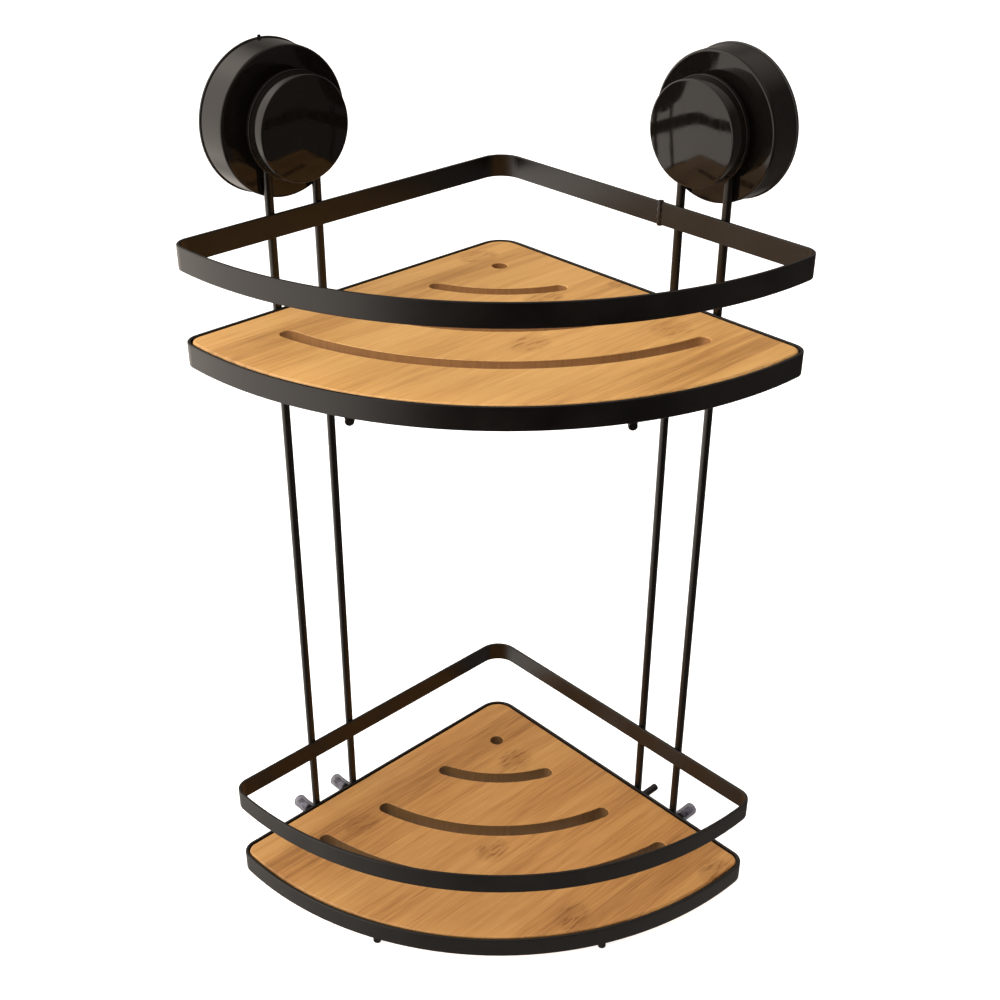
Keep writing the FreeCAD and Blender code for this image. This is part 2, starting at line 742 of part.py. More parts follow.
def housing_cover(label, side):
    """The glossy cover over the base, with a hole for the neck."""
    front_radius = cover_radius - size("cover_draft")
    hole = neck_radius + size("neck_fit")
    body = turned(label, [
        (cover_radius - cover_wall, housing_rear), (cover_radius, housing_rear),
        (front_radius, cover_front), (hole, cover_front), (hole, cover_front - cover_wall),
        (front_radius - cover_wall, cover_front - cover_wall),
    ])
    round_edges(body, "front", size("cover_round"), ring_edge(front_radius.value, cover_front.value))
    round_edges(body, "lip", cover_wall / 4, ring_edge(hole.value, cover_front.value))
    set_on_wall(body, side, hanger_reach, cup_axis)


def thrust_washer(label, side):
    """The slippery washer that the knob's hub turns against."""
    bore = stud_radius + 4 * stud_fit
    body = turned(label, [
        (bore, washer_rear), (washer_radius, washer_rear), (washer_radius, washer_rear + washer_thick),
        (bore, washer_rear + washer_thick),
    ])
    set_on_wall(body, side, hanger_reach, cup_axis)


def knob_body(label, side):
    """The knob's inner body: a rear rim that traps the hanger, a skirt and a hub for the nut."""
    floor = rim_front + size("skirt_thick")
    recess = washer_radius + 2 * wire_gap
    rim = knob_radius + size("knob_flare")
    hub = size("hub_radius")
    bore = stud_radius + 4 * stud_fit
    body = turned(label, [
        (bore, hub_rear), (recess, hub_rear), (recess, knob_rear), (rim, knob_rear),
        (rim, rim_front), (skirt_outer, rim_front), (skirt_outer, cap_floor - wire_gap),
        (skirt_inner, cap_floor - wire_gap), (skirt_inner, floor), (hub, floor),
        (hub, nut_front), (bore, nut_front),
    ])
    seat = new_sketch(body, "nut_seat", height=nut_rear)
    hexagon(seat, "hex", size("nut_flats") / 2)
    cut = body.newObject("PartDesign::Pocket", label + "_nut_seat_cut")
    cut.Profile = seat
    cut.Reversed = True
    bind(cut, "Length", size("nut_height") + size("skirt_thick"))
    before = body.Shape.Volume
    doc.recompute()
    if body.Shape.Volume > before - 1:
        raise RuntimeError(label + ": the nut seat cuts nothing")
    round_edges(body, "rim_edge", size("knob_flare") / 2, ring_edge(rim.value, rim_front.value))
    round_edges(body, "rear_edge", size("knob_flare"), ring_edge(rim.value, knob_rear.value))
    set_on_wall(body, side, hanger_reach, cup_axis)


def hexagon(sketch, tag, half_flats):
    """Draws a regular hexagon from half its size across flats."""
    corner = half_flats * 2 / as_size(3).root()
    polygon(sketch, tag, [
        (corner, ZERO), (corner / 2, half_flats), (-corner / 2, half_flats),
        (-corner, ZERO), (-corner / 2, -half_flats), (corner / 2, -half_flats),
    ])


def knob_nut(label, side):
    """The brass nut pressed in the hub; the stud runs in it."""
    body = new_body(label)
    outline = new_sketch(body, "outline", height=nut_rear)
    hexagon(outline, "hex", size("nut_flats") / 2)
    circle(outline, "bore", stud_bore)
    pad(body, outline, size("nut_height"))
    doc.recompute()
    set_on_wall(body, side, hanger_reach, cup_axis)


def knob_cap(label, side):
    """The glossy cap that snaps over the knob body, with a bevelled, slightly domed face."""
    bevel = size("knob_bevel")
    dome = size("knob_dome")
    face = knob_radius - bevel
    seam = rim_front + size("cap_fit")
    body = new_body(label)
    sketch = new_sketch(body, "section", "XZ_Plane")
    corners = [
        (ZERO, cap_floor), (cap_inner, cap_floor), (cap_inner, seam), (knob_radius, seam),
        (knob_radius, face_edge - bevel), (face, face_edge), (ZERO, face_edge + dome),
    ]
    points = [FreeCAD.Vector(x.value, y.value, 0) for x, y in corners]
    lines = [sketch.addGeometry(Part.LineSegment(points[i], points[i + 1])) for i in range(5)]
    # The face is one shallow arc whose centre is on the axis.
    swell = (face * face + dome * dome) / (2 * dome)
    centre = FreeCAD.Vector(0, face_edge.value + dome.value - swell.value, 0)
    start = math.atan2(points[5].y - centre.y, points[5].x)
    lines.append(arc(sketch, centre, swell.value, start, math.pi / 2))
    lines.append(sketch.addGeometry(Part.LineSegment(points[6], points[0])))
    for index, line in enumerate(lines):
        after = lines[(index + 1) % len(lines)]
        sketch.addConstraint(Sketcher.Constraint("Coincident", line, 2, after, 1))
    for index, (x, y) in enumerate(corners):
        pin(sketch, "p%d" % index, lines[index], 1, x, y)
    sketch.addConstraint(Sketcher.Constraint("PointOnObject", lines[5], 3, -2))
    feature = body.newObject("PartDesign::Revolution", label + "_turn")
    feature.Profile = sketch
    feature.ReferenceAxis = (sketch, ["V_Axis"])
    feature.Angle = 360
    round_edges(body, "face_edge", bevel / 3, ring_edge(face.value, face_edge.value))
    set_on_wall(body, side, hanger_reach, cup_axis)


# The whole caddy ---------------------------------------------------------------------------

for tier, top in (("lower", lower_top), ("upper", upper_top)):
    strip_loop(tier + "_tray_frame", top)
    strip_loop(tier + "_gallery_rail", top + rail_rise)
    support_rod(tier + "_left_rod", -1, top)
    support_rod(tier + "_right_rod", 1, top)
    board(tier + "_bamboo_board", top)

for hand, side in (("left", -1), ("right", 1)):
    hanger(hand + "_hanger_wire", side)
    suction_sheet(hand + "_suction_sheet", side, tab_down=side > 0)
    draw_stud(hand + "_draw_stud", side)
    housing_base(hand + "_housing_base", side)
    housing_cover(hand + "_housing_cover", side)
    thrust_washer(hand + "_thrust_washer", side)
    knob_body(hand + "_knob_body", side)
    knob_nut(hand + "_knob_nut", side)
    knob_cap(hand + "_knob_cap", side)

# The inner foot on the right has lost its bumper.
bumper("left_inner_bumper", -1, -1)
bumper("left_outer_bumper", -1, 1)
bumper("right_outer_bumper", 1, 1)

doc.recompute()

for item in doc.Objects:
    if "Invalid" in item.State or "Error" in item.State:
        raise RuntimeError(item.Label + " failed: " + ", ".join(item.State))
for item in features:
    if item.Shape.isNull() or not item.Shape.isValid():
        raise RuntimeError(item.Label + " has no valid shape")
    if len(item.Shape.Solids) != 1:
        raise RuntimeError(item.Label + " is %d solids" % len(item.Shape.Solids))

os.makedirs("parts", exist_ok=True)
for item in features:
    item.Shape.exportStep("parts/" + item.Label + ".step")
    print("%-24s %10.1f mm3" % (item.Label, item.Shape.Volume))
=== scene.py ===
# %% [markdown]
# # A corner shower caddy
# Two corner trays of black flat bar hang on two hairpin wires, and each hairpin hangs on
# the neck of a suction unit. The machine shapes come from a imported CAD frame. This lesson adds
# what CAD leaves plain: bamboo, powder coat, glossy plastic, the soft sheets and feet, the knobs'
# mirror faces, and the small marks of the workshop, such as weld beads.

# %% Load the frame
import json
import math

import bpy
from mathutils import Matrix, Quaternion, Vector


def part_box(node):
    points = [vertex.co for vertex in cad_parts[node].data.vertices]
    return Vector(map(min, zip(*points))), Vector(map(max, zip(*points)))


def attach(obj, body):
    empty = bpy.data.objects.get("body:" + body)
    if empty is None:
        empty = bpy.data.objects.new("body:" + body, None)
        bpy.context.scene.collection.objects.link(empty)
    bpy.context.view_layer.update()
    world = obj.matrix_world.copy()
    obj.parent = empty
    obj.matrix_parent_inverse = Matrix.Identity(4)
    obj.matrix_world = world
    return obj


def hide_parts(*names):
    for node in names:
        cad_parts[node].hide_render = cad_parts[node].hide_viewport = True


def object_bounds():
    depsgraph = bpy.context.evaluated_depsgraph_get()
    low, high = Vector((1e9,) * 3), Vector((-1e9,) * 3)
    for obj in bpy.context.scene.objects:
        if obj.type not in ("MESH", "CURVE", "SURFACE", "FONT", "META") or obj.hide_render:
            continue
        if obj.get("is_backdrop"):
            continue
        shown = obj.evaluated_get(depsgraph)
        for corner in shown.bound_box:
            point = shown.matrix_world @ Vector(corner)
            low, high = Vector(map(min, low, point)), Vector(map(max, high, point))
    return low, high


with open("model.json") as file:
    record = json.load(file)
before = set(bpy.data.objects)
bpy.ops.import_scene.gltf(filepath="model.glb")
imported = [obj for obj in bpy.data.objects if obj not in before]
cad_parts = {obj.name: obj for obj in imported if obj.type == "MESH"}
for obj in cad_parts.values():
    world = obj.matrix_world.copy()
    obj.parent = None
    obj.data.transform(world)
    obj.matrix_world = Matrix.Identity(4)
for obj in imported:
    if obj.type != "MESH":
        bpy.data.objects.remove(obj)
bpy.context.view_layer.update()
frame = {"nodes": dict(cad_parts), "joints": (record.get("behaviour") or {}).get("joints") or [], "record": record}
nodes = frame["nodes"]
record = frame["record"]

MM = 0.001
UP = Vector((0, 0, 1))
HANDS = ("left", "right")
TIERS = ("lower", "upper")

# %% [markdown]
# ## Where things are
# Every place is read from the frame. The two wall sides of a tray would meet on one upright line,
# the apex line, which they leave at 45 degrees. The knob's joint gives a point on each suction
# unit's axis, level with the outer face of the wall side, and the mount gives a point on its wall.

# %% Places on the two wall sides
joints = {joint["name"]: joint for joint in frame["joints"]}
mounts = {mount["name"]: mount for mount in record["mounts"]}
left_axis = joints["left_knob_twist"]["pos_m"]
APEX = Vector((0, left_axis[1] + abs(left_axis[0]), 0))


def span(node, direction, origin=APEX):
    """How far a CAD node reaches along a direction: (least, most), measured from a point."""
    reaches = [(vertex.co - origin).dot(direction) for vertex in nodes[node].data.vertices]
    return min(reaches), max(reaches)


class Side:
    """One wall side of the caddy, and the suction unit on it."""

    def __init__(self, hand):
        sign = -1 if hand == "left" else 1
        self.hand = hand
        self.along = Vector((sign, -1, 0)).normalized()
        self.to_wall = Vector((sign, 1, 0)).normalized()
        on_axis = Vector(joints[hand + "_knob_twist"]["pos_m"])
        on_wall = Vector(mounts[hand + "_wall_face"]["pos_m"])
        self.wall_depth = (on_wall - APEX).dot(self.to_wall)
        self.reach = (on_axis - APEX).dot(self.along)
        self.axis_height = on_axis.z

    def point(self, reach, depth, height):
        """A point this far along the wall side, towards the wall, and up."""
        return APEX + self.along * reach + self.to_wall * depth + UP * height

    def seat(self, reach, depth, height):
        """A frame whose Z points into the room and whose Y points up, at such a point."""
        room = -self.to_wall
        across = UP.cross(room)
        turn = Matrix((across, UP, room)).transposed().to_4x4()
        return Matrix.Translation(self.point(reach, depth, height)) @ turn


SIDES = {hand: Side(hand) for hand in HANDS}
for side in SIDES.values():
    print(side.hand, "suction unit:", round(side.reach / MM, 1), "mm from the apex,",
          round(side.axis_height / MM, 1), "mm up,", round(side.wall_depth / MM, 1), "mm to the wall")

# %% [markdown]
# ## The camera first
# With the camera set before anything is modelled, every test render shows the caddy as it will be
# judged: from the room, higher than the suction units, looking down at about thirty degrees.

# %% Camera
CAMERA_PLACE = Vector((0.0163, -0.6634, 0.6275))
CAMERA_TILT = math.radians(30.353)
CAMERA_TURN = math.radians(-1.204)
CAMERA_ROLL = math.radians(0.393)

camera_data = bpy.data.cameras.new("camera")
camera_data.lens = 50.98
camera = bpy.data.objects.new("camera", camera_data)
bpy.context.scene.collection.objects.link(camera)
bpy.context.scene.camera = camera
look = Vector((
    math.sin(CAMERA_TURN) * math.cos(CAMERA_TILT),
    math.cos(CAMERA_TURN) * math.cos(CAMERA_TILT),
    -math.sin(CAMERA_TILT),
))
camera.rotation_mode = "QUATERNION"
camera.rotation_quaternion = look.to_track_quat("-Z", "Y") @ Quaternion((0, 0, 1), CAMERA_ROLL)
camera.location = CAMERA_PLACE
print("the camera looks along", [round(v, 3) for v in look])

# %% [markdown]
# ## Shader maths in plain sums
# A finish is a network of nodes. Wiring each by hand hides the idea, so one class wraps a node's
# output and lets sums be written as sums: `1 - mask * 0.5` adds its Math nodes by itself. A second
# class holds the network and makes every other kind of node through one method.


# %% Signals and wiring
class Signal:
    """The output of a node, which can be added, subtracted, multiplied and divided."""

    def __init__(self, wiring, socket):
        self.wiring = wiring
        self.socket = socket

    def sum(self, operation, first, second):
        return self.wiring.node("ShaderNodeMath", {"operation": operation}, {0: first, 1: second})

    def __add__(self, other):
        return self.sum("ADD", self, other)

    __radd__ = __add__

    def __sub__(self, other):
        return self.sum("SUBTRACT", self, other)

    def __rsub__(self, other):
        return self.sum("SUBTRACT", other, self)

    def __mul__(self, other):
        return self.sum("MULTIPLY", self, other)

    def __truediv__(self, other):
        return self.sum("DIVIDE", self, other)


class Wiring:
    """A network of shader nodes."""

    def __init__(self, tree):
        self.tree = tree

    def node(self, kind, settings=None, inputs=None, output=0):
        """Adds a node: its settings first, then the values or links of its sockets."""
        made = self.tree.nodes.new(kind)
        for name, value in (settings or {}).items():
            if name == "stops":
                self.set_stops(made.color_ramp, value)
            else:
                setattr(made, name, value)
        for name, value in (inputs or {}).items():
            self.feed(made.inputs[name], value)
        return Signal(self, made.outputs[output])

    def feed(self, socket, value):
        if isinstance(value, Signal):
            self.tree.links.new(value.socket, socket)
        else:
            socket.default_value = value

    def set_stops(self, ramp, stops):
        while len(ramp.elements) < len(stops):
            ramp.elements.new(0.5)
        for element, (position, colour) in zip(ramp.elements, stops):
            element.position = position
            element.color = (*colour, 1)

    def vector(self, operation, first, second, output=0):
        return self.node("ShaderNodeVectorMath", {"operation": operation},
                         {0: first, 1: second}, output)

    def parts(self, vector):
        """The three parts of a vector, as three signals."""
        split = self.node("ShaderNodeSeparateXYZ", None, {0: vector})
        outputs = split.socket.node.outputs
        return [Signal(self, outputs[index]) for index in range(3)]

    def smooth(self, value, low, high):
        """Rises smoothly from 0 at low to 1 at high."""
        return self.node(
            "ShaderNodeMapRange", {"interpolation_type": "SMOOTHSTEP"},
            {"Value": value, "From Min": low, "From Max": high},
        )

    def noise(self, place, scale, detail=2.0, roughness=0.5, distortion=0.0):
        """Soft random cloud; scale is one number or one for each direction, per metre."""
        scales = scale if isinstance(scale, tuple) else (scale, scale, scale)
        return self.node(
            "ShaderNodeTexNoise", None,
            {"Vector": self.vector("MULTIPLY", place, scales), "Scale": 1.0, "Detail": detail,
             "Roughness": roughness, "Distortion": distortion},
        )

    def blend(self, factor, first, second):
        """Mixes two colours."""
        return self.node("ShaderNodeMix", {"data_type": "RGBA"},
                         {0: factor, 6: first, 7: second}, 2)


class Finish(Wiring):
    """A material: a network that ends in a Principled shader."""

    made = {}

    def __init__(self, name, **constants):
        self.material = bpy.data.materials.new(name)
        self.material.use_nodes = True
        super().__init__(self.material.node_tree)
        self.shader = self.tree.nodes["Principled BSDF"]
        self.place = self.node("ShaderNodeTexCoord", output="Object")
        for socket, value in constants.items():
            self.shader.inputs[socket.replace("_", " ")].default_value = value
        Finish.made[name] = self

    def show(self, socket, value):
        self.feed(self.shader.inputs[socket], value)

    def relief(self, height, distance, strength):
        """Small relief that is lit as if it stood this many metres high."""
        bump = self.node("ShaderNodeBump", None,
                         {"Height": height, "Distance": distance, "Strength": strength})
        self.show("Normal", bump)


def rgb(red, green, blue):
    """A colour as seen on a screen, 0 to 255, as the linear colour that a shader wants."""
    def linear(value):
        value /= 255
        return value / 12.92 if value <= 0.04045 else ((value + 0.055) / 1.055) ** 2.4
    return (linear(red), linear(green), linear(blue))


print("the classes are ready; white is", rgb(255, 255, 255))

# %% [markdown]
# ## Powder coat
# Flat bar, wires and rods are sprayed with black powder that melts and sets in an oven. It leaves
# a satin skin with a very fine orange peel, a little brown where light grazes it. Two noises make
# it: a fine one for the peel's relief, and a broad one that lets gloss and tone drift slightly.

# %% Powder coat
powder_coat = Finish("powder_coat", Specular_IOR_Level=0.55)
peel = powder_coat.noise(powder_coat.place, 2600, 2)
drift = powder_coat.noise(powder_coat.place, 45, 3)
powder_coat.show("Base Color", powder_coat.blend(
    powder_coat.smooth(drift, 0.3, 0.7), (*rgb(6, 4, 3), 1), (*rgb(12, 9, 7), 1)))
powder_coat.show("Roughness", 0.22 + drift * 0.12 + peel * 0.08)
powder_coat.relief(peel, 0.06 * MM, 0.5)
print("powder coat:", len(powder_coat.tree.nodes), "shader nodes")

# %% [markdown]
# ## Glossy moulded plastic
# The covers and knobs come out of polished moulds. They are deep black and mirror the room, but
# not perfectly: the skin sinks a little over the ribs, and wiping leaves haze. A broad, very low
# relief bends the reflections, and a fine noise spreads the gloss.

# %% Glossy plastic
gloss = Finish("gloss_black_plastic", Specular_IOR_Level=0.4)
sink = gloss.noise(gloss.place, 55, 1)
haze = gloss.noise(gloss.place, (380, 380, 90), 4, 0.6)
gloss.show("Base Color", gloss.blend(haze, (*rgb(12, 10, 8), 1), (*rgb(18, 15, 13), 1)))
gloss.show("Roughness", 0.045 + gloss.smooth(haze, 0.35, 0.75) * 0.05)
gloss.relief(sink, 1.0 * MM, 0.12)
print("glossy plastic:", len(gloss.tree.nodes), "shader nodes")

# %% [markdown]
# ## Plain moulded plastic
# The rear shell behind the cover is never seen from the room, so its mould is only spark-eroded.
# That leaves an even matt grain.

# %% Matt plastic
matte = Finish("matte_black_plastic")
grain = matte.noise(matte.place, 1900, 3, 0.7)
matte.show("Base Color", matte.blend(grain, (*rgb(20, 20, 20), 1), (*rgb(36, 35, 34), 1)))
matte.show("Roughness", 0.55 + grain * 0.2)
matte.relief(grain, 0.08 * MM, 0.5)
print("matt plastic:", len(matte.tree.nodes), "shader nodes")

# %% [markdown]
# ## Soft sheet, nylon, steel and brass
# The suction sheet is a soft, slightly oily elastomer: smooth, with the faint streaks of its
# moulding. The washer is waxy nylon. The stud is zinc plated and the nut is cut brass, so both
# carry fine lines round their axis. All are close to plain, so one or two noises are enough.


# %% Small finishes
def lined_metal(name, dark, light, lines):
    """Metal with fine tool lines, which darken and roughen it a little."""
    metal = Finish(name, Metallic=1.0)
    cut = metal.noise(metal.place, (lines, lines, 240), 3)
    stain = metal.noise(metal.place, 130, 2)
    metal.show("Base Color", metal.blend(metal.smooth(stain, 0.3, 0.7), (*dark, 1), (*light, 1)))
    metal.show("Roughness", 0.22 + cut * 0.25)
    metal.relief(cut, 0.02 * MM, 0.4)


def soft_finish(name, dark, light, gloss_low, scale):
    """A soft or waxy moulded surface: its tone and gloss drift together."""
    soft = Finish(name)
    flow = soft.noise(soft.place, (scale, scale, scale * 0.4), 3)
    soft.show("Base Color", soft.blend(soft.smooth(flow, 0.3, 0.7), (*dark, 1), (*light, 1)))
    soft.show("Roughness", gloss_low + flow * 0.2)
    soft.relief(flow, 0.1 * MM, 0.2)


lined_metal("plated_steel", rgb(150, 150, 148), rgb(205, 206, 208), 1500)
lined_metal("brass", rgb(176, 140, 66), rgb(222, 188, 104), 1200)
soft_finish("soft_black_sheet", rgb(14, 14, 15), rgb(25, 24, 25), 0.22, 160)
soft_finish("white_nylon", rgb(214, 213, 205), rgb(238, 237, 230), 0.38, 260)
print(len(Finish.made), "finishes so far")

# %% [markdown]
# ## Cloudy rubber
# The feet are cheap clear rubber, gone cloudy: light goes in, the black wire shows through, and
# the skin still shines. A surface that lets part of the light straight through is enough, and the
# haze makes it uneven.

# %% Cloudy rubber
rubber = Finish("clear_grey_rubber", Specular_IOR_Level=0.6)
cloud = rubber.noise(rubber.place, 240, 2, 0.5)
rubber.show("Base Color", rubber.blend(
    rubber.smooth(cloud, 0.3, 0.7), (*rgb(48, 46, 56), 1), (*rgb(104, 102, 116), 1)))
rubber.show("Alpha", 0.6 + cloud * 0.3)
rubber.show("Roughness", 0.2 + cloud * 0.2)
rubber.relief(cloud, 0.2 * MM, 0.3)
print("cloudy rubber:", len(rubber.tree.nodes), "shader nodes")

# %% [markdown]
# ## Bamboo
# A bamboo board is glued up from strips about 20 mm wide that run along the left wall side. Each
# strip has its own tone, drawn from its number; another TONE_CHOICE deals other tones. Fine fibres
# run along it, with darker streaks between, and where the cane had a knot there is a small patch
# of short, curly dashes that lean a little. The cut walls of the slots show the ends of the fibres
# and look much darker, partly from that end grain and partly from painted shade. The pattern has
# its own directions: one along the grain and one across. Each board has its own knots, and the
# lower board's colours are the upper board's made darker: painted shade cast by the upper tray.

# %% Bamboo
GRAIN = SIDES["left"].along
ACROSS = SIDES["right"].along
STRIP_WIDTH = 20 * MM
KNOT_LENGTH = 13 * MM
KNOT_WIDTH = 11 * MM
KNOT_CURL = 2 * MM
KNOT_LEAN = 0.3
TONE_CHOICE = 3.0


def bamboo(name, knots, light, middle, dark, cut):
    """Bamboo with knots at places (along, across) in millimetres from the apex."""
    wood = Finish(name)
    u = wood.vector("DOT_PRODUCT", wood.place, tuple(GRAIN), 1) - APEX.dot(GRAIN)
    v = wood.vector("DOT_PRODUCT", wood.place, tuple(ACROSS), 1) - APEX.dot(ACROSS)
    height = wood.parts(wood.place)[2]
    grain_place = wood.node("ShaderNodeCombineXYZ", None, {0: u, 1: v, 2: height})

    lane = wood.node("ShaderNodeMath", {"operation": "FLOOR"}, {0: v / STRIP_WIDTH})
    own_tone = wood.node("ShaderNodeTexWhiteNoise", {"noise_dimensions": "1D"},
                         {"W": lane + TONE_CHOICE})
    fibres = wood.noise(grain_place, (34, 1200, 1200), 3, 0.65)
    bands = wood.noise(grain_place, (10, 210, 210), 4, 0.65)
    clouds = wood.noise(grain_place, (9, 22, 22), 2)
    tone = (0.5 + (own_tone - 0.5) * 0.22 + (bands - 0.5) * 0.62 + (fibres - 0.5) * 0.6
            + (clouds - 0.5) * 0.35)
    colour = wood.node("ShaderNodeValToRGB", {
        "stops": [(0.15, dark), (0.5, middle), (0.88, light)]}, {0: tone})

    streaks = wood.smooth(wood.noise(grain_place, (22, 760, 760), 3, 0.6, 0.6), 0.57, 0.72)
    colour = wood.blend(streaks * 0.34, colour, (*dark, 1))

    patches = 0.0
    for along, across in knots:
        du = (u - along * MM) / KNOT_LENGTH
        dv = (v - across * MM) / KNOT_WIDTH
        patches = patches + (1 - wood.smooth(du * du + dv * dv, 0.25, 1.1))
    curl = (wood.noise(grain_place, 90, 1) - 0.5) * KNOT_CURL
    curly_place = wood.node("ShaderNodeCombineXYZ", None,
                            {0: u + v * KNOT_LEAN, 1: v + curl, 2: height})
    dashes = wood.noise(curly_place, (105, 900, 900), 3, 0.6, 0.2)
    knot_marks = wood.smooth(dashes, 0.50, 0.64) * patches
    colour = wood.blend(patches * 0.2, colour, (*dark, 1))
    colour = wood.blend(knot_marks * 0.85, colour, (*dark, 1))

    # Slot walls and board edges take the cut colour: darker end grain, with painted shade in it as well, since
    # these walls stand in shadow.
    facing = wood.parts(wood.node("ShaderNodeNewGeometry", output="Normal"))[2]
    facing = wood.node("ShaderNodeMath", {"operation": "ABSOLUTE"}, {0: facing})
    flat = wood.smooth(facing, 0.10, 0.45)
    end_lines = wood.noise(grain_place, (700, 700, 60), 2)
    wall = wood.blend(wood.smooth(end_lines, 0.35, 0.65), (*(c * 0.85 for c in cut), 1), (*cut, 1))
    wood.show("Base Color", wood.blend(flat, wall, colour))
    wood.show("Roughness", 0.62 - flat * 0.16 + (fibres - 0.5) * 0.2 + knot_marks * 0.1)
    wood.relief(fibres * 0.7 + bands * 0.3 - knot_marks * 0.3, 0.12 * MM, 0.5)


# Lit and shaded copies of one bamboo: the lower board's light, middle, dark and cut colours are darker than the
# upper's, painted shade cast by the upper tray.
bamboo("lower_bamboo", [(38, 56), (148, 34), (105, 104), (108, 175), (21, 208)],
       rgb(200, 154, 92), rgb(177, 127, 70), rgb(122, 76, 34), rgb(112, 80, 40))
bamboo("upper_bamboo", [(94, 118), (31, 154), (49, 82), (33, 16), (0, 97)],
       rgb(220, 174, 108), rgb(200, 150, 86), rgb(148, 100, 50), rgb(152, 106, 58))
print(len(Finish.made), "finishes:", sorted(Finish.made))

# %% [markdown]
# ## A finish for every CAD node
# The record names a material slot for each node, and a finish bears the slot's name. The boards
# are the exception: they share one slot, but each has its own finish.


# %% Give every CAD node its finish
def give_finish(piece, name):
    """Puts a finish on a piece, in place of whatever it has."""
    if not piece.material_slots:
        piece.data.materials.append(None)
    for holder in piece.material_slots:
        holder.material = Finish.made[name].material


for part in record["subparts"]:
    slot = part["material_slot"]
    if slot == "bamboo":
        slot = part["node"].split("_")[0] + "_bamboo"
    give_finish(nodes[part["node"]], slot)
print("finished", len(record["subparts"]), "nodes")

# %% [markdown]
# ## Turned pieces by extruding rings
# Many pieces here are round about an axis: sheets, feet, beads. Each starts as one filled circle.
# Its face is extruded and scaled again and again, as a potter pulls up a wall, until the outline
# is followed. It is modelled upright at the origin and then moved to its seat.


# %% Helpers for modelling
def deselect():
    if bpy.context.object and bpy.context.object.mode != "OBJECT":
        bpy.ops.object.mode_set(mode="OBJECT")
    bpy.ops.object.select_all(action="DESELECT")


def turned(name, outline, steps):
    """A closed round piece. The outline is (radius, height) in millimetres, from cap to cap."""
    deselect()
    radius, height = outline[0]
    bpy.ops.mesh.primitive_circle_add(vertices=steps, radius=radius * MM, fill_type="NGON",
                                      location=(0, 0, height * MM))
    piece = bpy.context.active_object
    piece.name = name
    bpy.ops.object.transform_apply(location=True, rotation=True, scale=True)
    bpy.ops.object.mode_set(mode="EDIT")
    bpy.ops.mesh.select_mode(type="FACE")
    bpy.ops.mesh.select_all(action="SELECT")
    for next_radius, next_height in outline[1:]:
        rise = (next_height - height) * MM
        grow = next_radius / radius
        bpy.ops.mesh.extrude_region_move(TRANSFORM_OT_translate={"value": (0, 0, rise)})
        bpy.ops.transform.resize(value=(grow, grow, 1))
        radius, height = next_radius, next_height
    bpy.ops.mesh.select_all(action="SELECT")
    bpy.ops.mesh.normals_make_consistent(inside=False)
    bpy.ops.object.mode_set(mode="OBJECT")
    bpy.ops.object.shade_smooth_by_angle(angle=math.radians(40))
    return piece


def settle(piece, seat):
    """Moves a piece to its seat and puts its place into its mesh."""
    deselect()
    piece.select_set(True)
    bpy.context.view_layer.objects.active = piece
    piece.matrix_world = seat
    bpy.ops.object.transform_apply(location=True, rotation=True, scale=True)


def copied(piece, name):
    """A copy with its own mesh."""
    twin = piece.copy()
    twin.data = piece.data.copy()
    twin.name = name
    bpy.context.scene.collection.objects.link(twin)
    return twin


def joined(pieces, name):
    """Several pieces made into one object."""
    deselect()
    for piece in pieces:
        piece.select_set(True)
    bpy.context.view_layer.objects.active = pieces[0]
    bpy.ops.object.join()
    pieces[0].name = name
    return pieces[0]


print("helpers ready")

# %% [markdown]
# ## Suction sheets
# The real sheet is one soft moulding: a flat sealing land at the rim, a thin web that the stud
# pulls off the wall, and a thick boss round the stud. A small tab at the rim lets air in when it
# is lifted. The web is drawn with a slight curve, because soft rubber doesn't bend along straight
# lines. A fine groove runs round the land. The left tab points up and the right one down.

# %% Suction sheets
SHEET_OUTLINE = [
    (5.0, 3.0), (9.0, 2.95), (12.0, 2.74), (16.0, 2.24), (20.0, 1.68), (24.0, 1.1), (28.0, 0.5),
    (31.0, 0.08), (32.0, 0.0), (33.7, 0.0), (33.9, 0.2), (34.5, 0.2), (34.7, 0.0), (37.1, 0.0),
    (37.6, 0.22), (37.8, 0.75), (37.6, 1.28), (37.1, 1.5), (32.0, 1.5), (30.6, 1.58),
    (26.6, 2.1), (20.5, 2.94), (14.2, 3.76), (10.4, 4.26), (9.4, 4.7), (9.0, 5.4), (9.0, 8.3),
    (8.8, 8.8), (8.3, 9.0), (4.9, 9.0), (4.3, 8.8), (4.08, 8.2), (4.08, 6.35),
]
SHEET_STEPS = 128
TAB_SIZE = (1.8, 2.4, 0.9)
TAB_REACH = 37.5
TAB_ROUND = 0.35 * MM


def tab(name, upward):
    """The pull tab: a rounded tongue that stands out of the rim."""
    deselect()
    bpy.ops.mesh.primitive_cube_add(size=MM, location=(0, upward * TAB_REACH * MM, 0.75 * MM),
                                    scale=TAB_SIZE)
    tongue = bpy.context.active_object
    tongue.name = name
    bpy.ops.object.transform_apply(location=True, rotation=True, scale=True)
    bpy.ops.object.mode_set(mode="EDIT")
    bpy.ops.mesh.select_all(action="SELECT")
    bpy.ops.mesh.bevel(offset=TAB_ROUND, segments=3, affect="EDGES")
    bpy.ops.object.mode_set(mode="OBJECT")
    bpy.ops.object.shade_smooth_by_angle(angle=math.radians(40))
    return tongue


for side in SIDES.values():
    sheet = turned(side.hand + "_sheet", SHEET_OUTLINE, SHEET_STEPS)
    sheet = joined([sheet, tab("tab", 1 if side.hand == "left" else -1)], side.hand + "_sheet")
    settle(sheet, side.seat(side.reach, side.wall_depth, side.axis_height))
    give_finish(sheet, "soft_black_sheet")
    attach(sheet, side.hand + "_cup")
    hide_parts(side.hand + "_suction_sheet")
    print(sheet.name, len(sheet.data.polygons), "faces")

